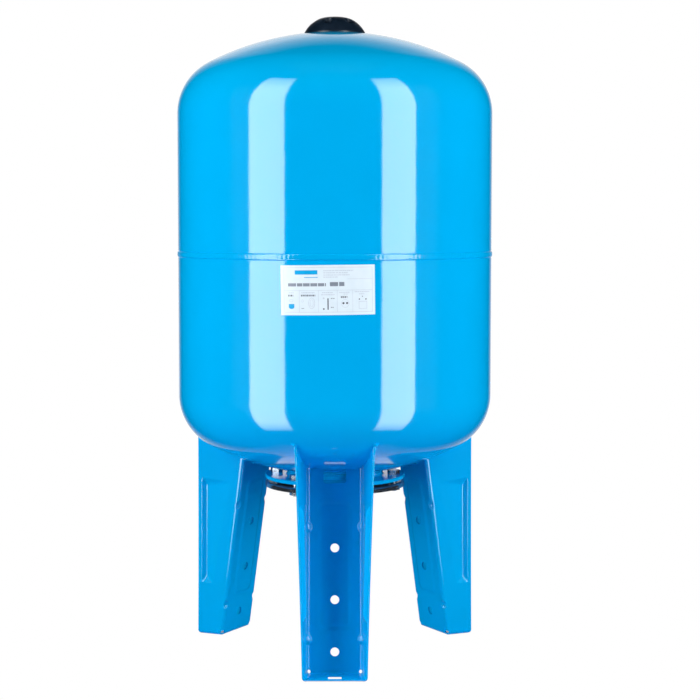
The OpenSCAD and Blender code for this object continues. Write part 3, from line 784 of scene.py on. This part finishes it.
def label_print():
    """A frame with an upper strip, a title row and five cells. The words and marks of the real one are left out."""
    pale, grey, dark, cyan = Print(), Print(), Print(), Print()
    pale.frame(3.5, 2.4, 98.7, 49.5, 0.45)
    pale.bar(3.5, 27.5, 98.7, 0.4)
    pale.bar(74.6, 15.2, 27.6, 0.3)
    for x in (21.1, 42.3, 62.9, 79.9):
        pale.bar(x, 27.7, 0.35, 24)
    cyan.bar(16.4, 5.6, 25.2, 4.6)
    cyan.bar(26.8, 13.1, 15.0, 0.7)
    for y, w in ((5.7, 33.0), (8.1, 27.0), (10.5, 29.0), (12.8, 16.0)):
        pale.blocks(48.2, y, w, 0.9, 2.2, 0.8)
    grey.blocks(8.5, 19.8, 42.5, 3.4, 8.0, 0.9)
    grey.blocks(55.2, 18.8, 16.6, 4.4, 7.0, 0.88)
    for x, y, w in ((9.3, 29.7, 5.7), (23.5, 29.7, 15.0), (46.6, 29.7, 12.0), (45.4, 32.1, 15.0),
                    (65.3, 29.7, 11.6), (70.1, 31.6, 5.0), (82.3, 29.1, 16.6), (87.1, 31.6, 6.0)):
        pale.blocks(x, y, w, 0.9, 1.8, 0.8)
    for x, y, w in ((8.6, 32.4, 6.0), (23.1, 32.4, 16.2), (67.1, 34.4, 7.4)):
        dark.blocks(x, y, w, 1.8, 1.7, 0.6)
    pale.loop(11.9, 38.9, 2.4, 1.6, 0.4)
    cyan.bar(9.2, 42.6, 6.2, 3.2)
    cyan.disc(12.3, 45.7, 3.1, 2.4)
    pale.loop(34.9, 41.8, 3.6, 6.2, 0.5)
    pale.loop(34.9, 41.8, 1.9, 4.2, 0.35)
    pale.loop(24.9, 39.2, 1.2, 1.5, 0.35)
    grey.bar(23.4, 47.2, 3.0, 0.6)
    dark.bar(52.3, 36.6, 1.2, 12.4)
    dark.disc(48.2, 48.2, 0.9, 0.9)
    pale.disc(48.2, 36.5, 1.0, 1.0)
    grey.blocks(56.0, 36.3, 4.4, 0.8, 1.5, 0.8)
    grey.blocks(56.0, 46.1, 3.4, 0.8, 1.5, 0.8)
    dark.disc(69.8, 42.0, 1.2, 1.1)
    dark.disc(73.8, 42.0, 1.2, 1.1)
    pale.loop(71.8, 42.4, 4.3, 4.6, 0.4)
    dark.disc(87.4, 37.8, 0.8, 0.7)
    dark.disc(94.7, 37.8, 0.8, 0.7)
    grey.disc(90.9, 34.8, 0.6, 0.6)
    pale.frame(86.7, 40.1, 9.2, 8.2, 0.5)
    for name, ink, build in (("pale", INK_PALE, pale), ("grey", INK_GREY, grey), ("dark", INK_DARK, dark),
                             ("cyan", INK_CYAN, cyan)):
        piece("label_print_" + name, build.mesh("label_print_" + name, weld=0), ink, "label_film")


label_sheet()
label_print()


# ---- Inlet

def threaded_inlet():
    """The one inch nipple: a pipe thread below a plain shoulder, and a chamfered bore."""
    box_low, box_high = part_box("inlet_nipple")
    low, high = box_low[2] * 1000, box_high[2] * 1000
    pitch = 2.309
    thread_end = low + 20.0

    def radius(r, z, turns):
        if not (r > 16.5 and low + 0.2 < z < thread_end + 0.3):
            return np.full(len(turns), r)
        phase = (z / pitch - turns / (2 * math.pi)) % 1.0
        depth = 1.3 * np.clip(1.18 * (1 - np.abs(2 * phase - 1)) - 0.09, 0, 1)
        fade = min((z - low) / 1.2, (thread_end + 0.3 - z) / 1.5, 1)
        return r - depth * fade - 0.8 * max(0, 1 - (z - low) / 1.0)

    outline = [(16.6, z) for z in np.arange(low + 0.0, thread_end, 0.19)]
    outline += [(16.6, low + 22.0), (18.3, low + 22.0), (18.6, low + 22.3), (18.6, high), (12.5, high)]
    outline += [(12.5, low + 1.0), (13.3, low)]
    build = Build()
    lathe(build, outline, 128, shape=radius)
    piece("inlet_thread", build.mesh("inlet_thread", sharp=40), ZINC, "zinc_plate", "inlet_nipple")


threaded_inlet()


# Cover over the air valve

COVER_R = 36.5
COVER_T = 2.0
COVER_DIMPLES = 6
COVER_DIMPLE_R = 6.5


def cover():
    """The moulded cover: a flattened dome with finger dimples round its shoulder."""
    foot = UPPER_KNUCKLE_Z + HEAD_H - CROWN_R + math.sqrt(CROWN_R ** 2 - COVER_R ** 2) + 0.2
    rise = 19.4
    turns = np.radians(np.linspace(0, 360, 240, endpoint=False))
    outer, inner = [], []
    for part in np.sin(np.linspace(0, math.pi / 2, 49)):
        r = COVER_R * part
        x, y = r * np.cos(turns), r * np.sin(turns)
        z = np.full(len(turns), foot + 1 + rise * (1 - part ** 3) ** 0.9)
        for k in range(COVER_DIMPLES):
            a = math.radians(-107.7 + k * 360 / COVER_DIMPLES)
            away = np.hypot(x - 0.72 * COVER_R * math.cos(a), y - 0.72 * COVER_R * math.sin(a))
            ball = foot + 16.0 - np.sqrt(np.maximum(COVER_DIMPLE_R ** 2 - away ** 2, 0))
            z = np.where(away < COVER_DIMPLE_R, np.minimum(z, ball), z)
        shrink = 1 - COVER_T / COVER_R
        outer.append(np.column_stack([x, y, z]))
        inner.append(np.column_stack([x * shrink, y * shrink, np.maximum(z - COVER_T, foot)]))
    rim = [outer[-1] * (1, 1, 0) + (0, 0, foot), inner[-1] * (1, 1, 0) + (0, 0, foot)]
    build = Build()
    build.grid(outer + rim + inner[::-1], closed=True)
    piece("moulded_cover", build.mesh("moulded_cover", sharp=50), BLACK, "black_plastic", "top_cover")


cover()


# ---- Camera, light and background

def aimed(obj, place, target):
    obj.location = place
    direction = np.array(target, float) - np.array(place, float)
    flat = math.hypot(direction[0], direction[1])
    obj.rotation_euler = (math.pi / 2 + math.atan2(direction[2], flat), 0, math.atan2(-direction[0], direction[1]))


def camera():
    data = bpy.data.cameras.new("camera")
    data.sensor_width = 36.0
    data.lens = 90.3
    data.shift_x = 0.0217
    data.clip_end = 50
    obj = bpy.data.objects.new("camera", data)
    bpy.context.scene.collection.objects.link(obj)
    obj.location = (0, -2.113, 0.5233)
    obj.rotation_euler = (math.radians(85.6), 0, 0)
    bpy.context.scene.camera = obj


def soft_box(name, azimuth, size, power, distance, z):
    """A large soft box that lights the matt colour. The gloss shows the streaks in its place."""
    light = bpy.data.lights.new(name, "AREA")
    light.shape = "RECTANGLE"
    light.size, light.size_y = size
    light.energy = power
    obj = bpy.data.objects.new(name, light)
    bpy.context.scene.collection.objects.link(obj)
    a = math.radians(azimuth)
    aimed(obj, (distance * math.sin(a), -distance * math.cos(a), z), (0, 0, 0.45))
    obj.visible_camera = False
    obj.visible_glossy = False


def streak(name, azimuth, half_width, low, high, glow):
    """A tall curved screen that only shows in the gloss, with soft ends."""
    turns = np.radians(np.linspace(azimuth - half_width, azimuth + half_width, 9))
    rows = [[(500 * math.sin(t), -500 * math.cos(t), z) for t in turns] for z in np.linspace(low, high, 9)]
    build = Build()
    build.grid(rows)
    obj = bpy.data.objects.new(name, build.mesh(name))
    bpy.context.scene.collection.objects.link(obj)
    material = bpy.data.materials.new(name)
    material.use_nodes = True
    material.cycles.emission_sampling = "NONE"
    tree = material.node_tree
    tree.nodes.clear()
    out = tree.nodes.new("ShaderNodeOutputMaterial")
    emit = tree.nodes.new("ShaderNodeEmission")
    emit.inputs["Strength"].default_value = glow
    split = tree.nodes.new("ShaderNodeSeparateXYZ")
    tree.links.new(tree.nodes.new("ShaderNodeTexCoord").outputs["Generated"], split.inputs[0])
    fade = tree.nodes.new("ShaderNodeValToRGB")
    stops = fade.color_ramp.elements
    stops[0].position, stops[0].color = 0.0, (0.25, 0.25, 0.25, 1)
    stops[1].position, stops[1].color = 1.0, (0.35, 0.35, 0.35, 1)
    for place in (0.14, 0.80):
        stops.new(place).color = (1, 1, 1, 1)
    tree.links.new(split.outputs["Z"], fade.inputs["Fac"])
    tree.links.new(fade.outputs["Color"], emit.inputs["Color"])
    tree.links.new(emit.outputs[0], out.inputs["Surface"])
    obj.data.materials.append(material)
    obj.visible_camera = False
    obj.visible_diffuse = False
    obj.visible_shadow = False
    obj.visible_transmission = False


def world():
    """White to the camera, even light for matt surfaces, and a dim room with a bright back wall in the gloss."""
    made = bpy.data.worlds.new("studio")
    bpy.context.scene.world = made
    made.use_nodes = True
    tree = made.node_tree
    out = next(n for n in tree.nodes if n.type == "OUTPUT_WORLD")
    path = tree.nodes.new("ShaderNodeLightPath")

    def background(strength):
        node = tree.nodes.new("ShaderNodeBackground")
        node.inputs["Color"].default_value = (1, 1, 1, 1)
        node.inputs["Strength"].default_value = strength
        return node

    def mix(factor, a, b):
        node = tree.nodes.new("ShaderNodeMixShader")
        tree.links.new(factor, node.inputs[0])
        tree.links.new(a, node.inputs[1])
        tree.links.new(b, node.inputs[2])
        return node.outputs[0]

    coords = tree.nodes.new("ShaderNodeTexCoord").outputs["Generated"]
    split = tree.nodes.new("ShaderNodeSeparateXYZ")
    tree.links.new(coords, split.inputs[0])
    across = tree.nodes.new("ShaderNodeMath")
    across.operation = "ABSOLUTE"
    tree.links.new(split.outputs["X"], across.inputs[0])
    wall = ramp(tree, across.outputs[0], 0.95, 0.0, 0.12, 0.42)
    for part in (ramp(tree, split.outputs["Z"], 1.0, 0.0, 0.40, 0.66), ramp(tree, split.outputs["Y"], 0.0, 1.0, 0.0, 0.02)):
        both = tree.nodes.new("ShaderNodeMix")
        both.data_type = "RGBA"
        both.blend_type = "MULTIPLY"
        both.inputs[0].default_value = 1.0
        tree.links.new(wall, both.inputs[6])
        tree.links.new(part, both.inputs[7])
        wall = both.outputs[2]
    gloss = background(1.0)
    tree.links.new(wall, gloss.inputs["Color"])
    rest = mix(path.outputs["Is Glossy Ray"], background(0.03).outputs[0], gloss.outputs[0])
    tree.links.new(mix(path.outputs["Is Camera Ray"], rest, background(1.0).outputs[0]), out.inputs["Surface"])


def floor():
    """A pale floor that shows pure white to the camera."""
    build = Build()
    edge = 3000.0
    build.grid([[(-edge, y, -0.2), (edge, y, -0.2)] for y in (-edge, edge)])
    obj = bpy.data.objects.new("floor", build.mesh("floor"))
    bpy.context.scene.collection.objects.link(obj)
    material = bpy.data.materials.new("floor_white")
    material.use_nodes = True
    tree = material.node_tree
    bsdf = next(n for n in tree.nodes if n.type == "BSDF_PRINCIPLED")
    out = next(n for n in tree.nodes if n.type == "OUTPUT_MATERIAL")
    bsdf.inputs["Base Color"].default_value = (0.42, 0.52, 0.80, 1)
    bsdf.inputs["Roughness"].default_value = 0.9
    emit = tree.nodes.new("ShaderNodeEmission")
    path = tree.nodes.new("ShaderNodeLightPath")
    mixer = tree.nodes.new("ShaderNodeMixShader")
    tree.links.new(path.outputs["Is Camera Ray"], mixer.inputs[0])
    tree.links.new(bsdf.outputs[0], mixer.inputs[1])
    tree.links.new(emit.outputs[0], mixer.inputs[2])
    tree.links.new(mixer.outputs[0], out.inputs["Surface"])
    obj.data.materials.append(material)
    obj.visible_glossy = False


camera()
soft_box("soft_left", -58, (1.0, 1.8), 29.5, 1.6, 0.80)
soft_box("soft_right", 58, (1.0, 1.8), 28.5, 1.6, 0.80)
soft_box("soft_top", 0, (1.2, 0.9), 6.6, 0.3, 2.2)
streak("streak_left", -40.4, 11.3, -60, 1110, 9.75)
streak("streak_right", 37.8, 10.6, -60, 1110, 9.75)
world()
floor()
bpy.context.scene.view_settings.view_transform = "Standard"
